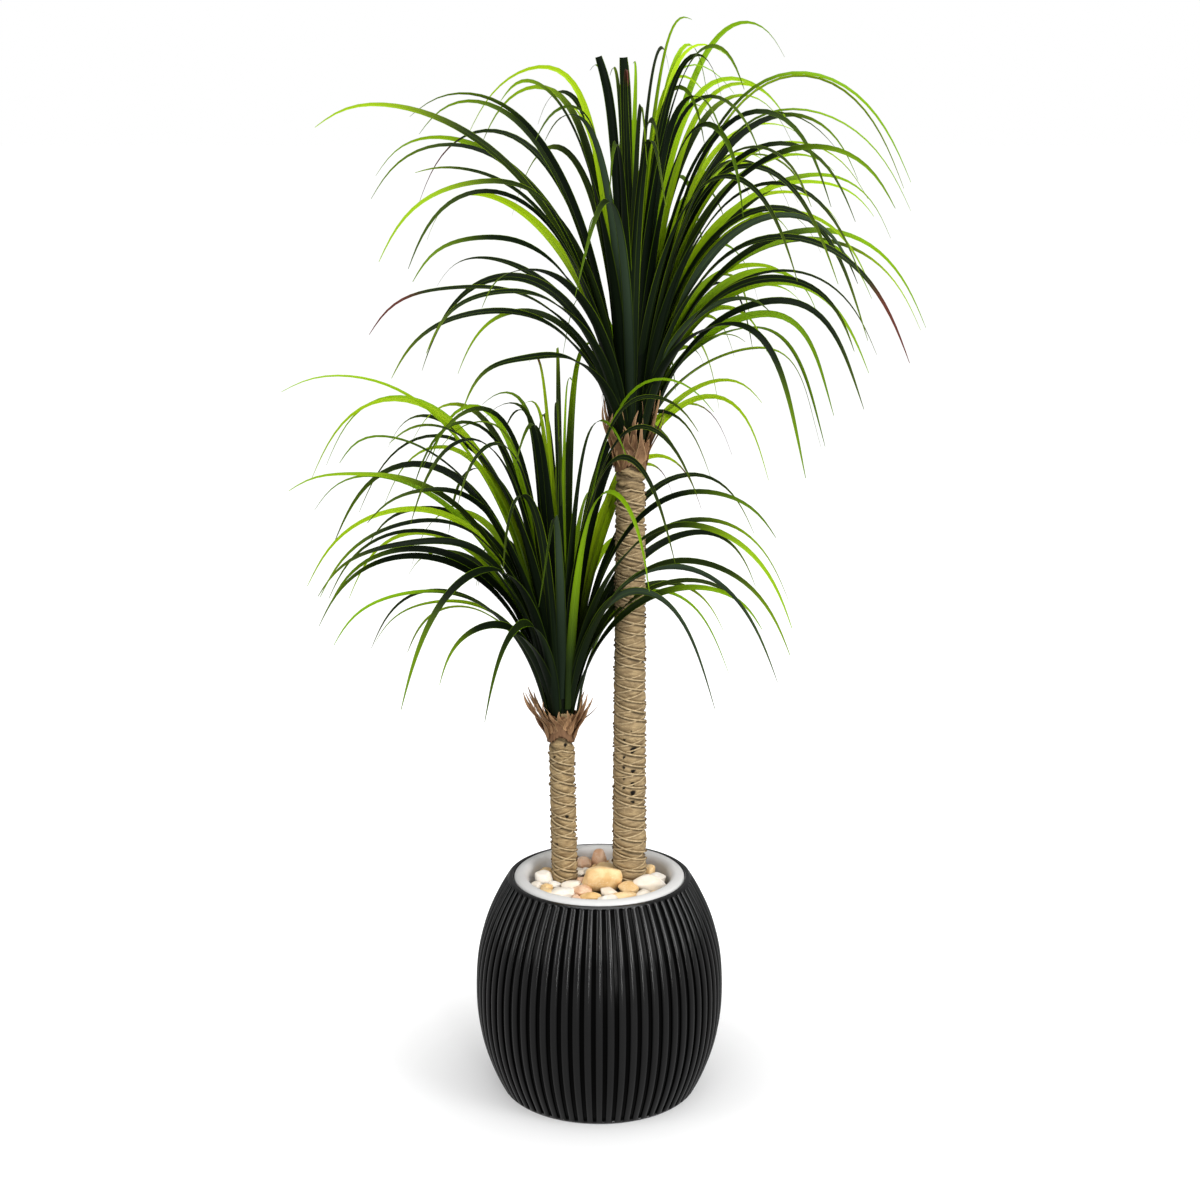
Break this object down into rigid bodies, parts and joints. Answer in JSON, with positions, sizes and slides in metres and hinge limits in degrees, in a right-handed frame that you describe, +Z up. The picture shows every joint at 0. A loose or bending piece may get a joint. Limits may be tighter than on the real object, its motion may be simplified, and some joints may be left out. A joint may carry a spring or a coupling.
{
  "type": "potted ponytail palm",
  "caption": "Twin-stem ponytail palm with twine-laced trunks, husk collars and arching strap leaves, in a black ribbed barrel planter with a white liner and pebbles.",
  "frame": {"origin": "middle of the planter's flat underside, on the floor", "axes": "+Z up along the planter's axis, -Y towards the front, +X to the right seen from the front, where the taller stem stands"},
  "size_m": [0.6818, 0.6748, 1.1885],
  "materials": {
    "pot_black": "matt, ribbed",
    "liner_white": "smooth, slightly glossy",
    "fill_cement": "rough cast",
    "tall_trunk_wrap": "rough, wrinkled",
    "short_trunk_wrap": "rough, fibrous",
    "twine": "rough fibre",
    "husk": "dry, papery",
    "crown_core": "matt",
    "leaf_dark": "satin",
    "leaf_lime": "satin",
    "leaf_mixed": "satin",
    "leaf_grey": "satin",
    "pebble_yellow": "smooth, worn",
    "pebble_white": "smooth, worn",
    "pebble_peach": "smooth, worn"
  },
  "bodies": {
    "root": {"outer_pot": "pot_black", "inner_pot": "liner_white", "potting_fill": "fill_cement", "pebble_01": "pebble_yellow", "pebble_02": "pebble_white", "pebble_03": "pebble_peach", "pebble_04": "pebble_yellow", "pebble_05": "pebble_white", "pebble_06": "pebble_peach", "pebble_07": "pebble_peach", "pebble_08": "pebble_white", "pebble_09": "pebble_yellow", "pebble_10": "pebble_white", "pebble_11": "pebble_white", "pebble_12": "pebble_yellow", "pebble_13": "pebble_yellow", "tall_trunk": "tall_trunk_wrap", "tall_trunk_twine": "twine", "tall_husk_collar": "husk", "tall_crown_core": "crown_core", "tall_leaf_01": "leaf_lime", "tall_leaf_02": "leaf_dark", "tall_leaf_03": "leaf_dark", "tall_leaf_04": "leaf_mixed", "tall_leaf_05": "leaf_mixed", "tall_leaf_06": "leaf_lime", "tall_leaf_07": "leaf_dark", "tall_leaf_08": "leaf_dark", "tall_leaf_09": "leaf_dark", "tall_leaf_10": "leaf_lime", "tall_leaf_11": "leaf_lime", "tall_leaf_12": "leaf_dark", "tall_leaf_13": "leaf_mixed", "tall_leaf_14": "leaf_grey", "tall_leaf_15": "leaf_dark", "tall_leaf_16": "leaf_dark", "tall_leaf_17": "leaf_lime", "tall_leaf_18": "leaf_dark", "tall_leaf_19": "leaf_dark", "tall_leaf_20": "leaf_dark", "short_trunk": "short_trunk_wrap", "short_trunk_twine": "twine", "short_husk_collar": "husk", "short_crown_core": "crown_core", "short_leaf_01": "leaf_lime", "short_leaf_02": "leaf_lime", "short_leaf_03": "leaf_mixed", "short_leaf_04": "leaf_dark", "short_leaf_05": "leaf_dark", "short_leaf_06": "leaf_dark", "short_leaf_07": "leaf_dark", "short_leaf_08": "leaf_dark", "short_leaf_09": "leaf_lime", "short_leaf_10": "leaf_grey", "short_leaf_11": "leaf_dark", "short_leaf_12": "leaf_dark", "short_leaf_13": "leaf_mixed", "short_leaf_14": "leaf_dark", "short_leaf_15": "leaf_dark"}
  },
  "joints": []
}
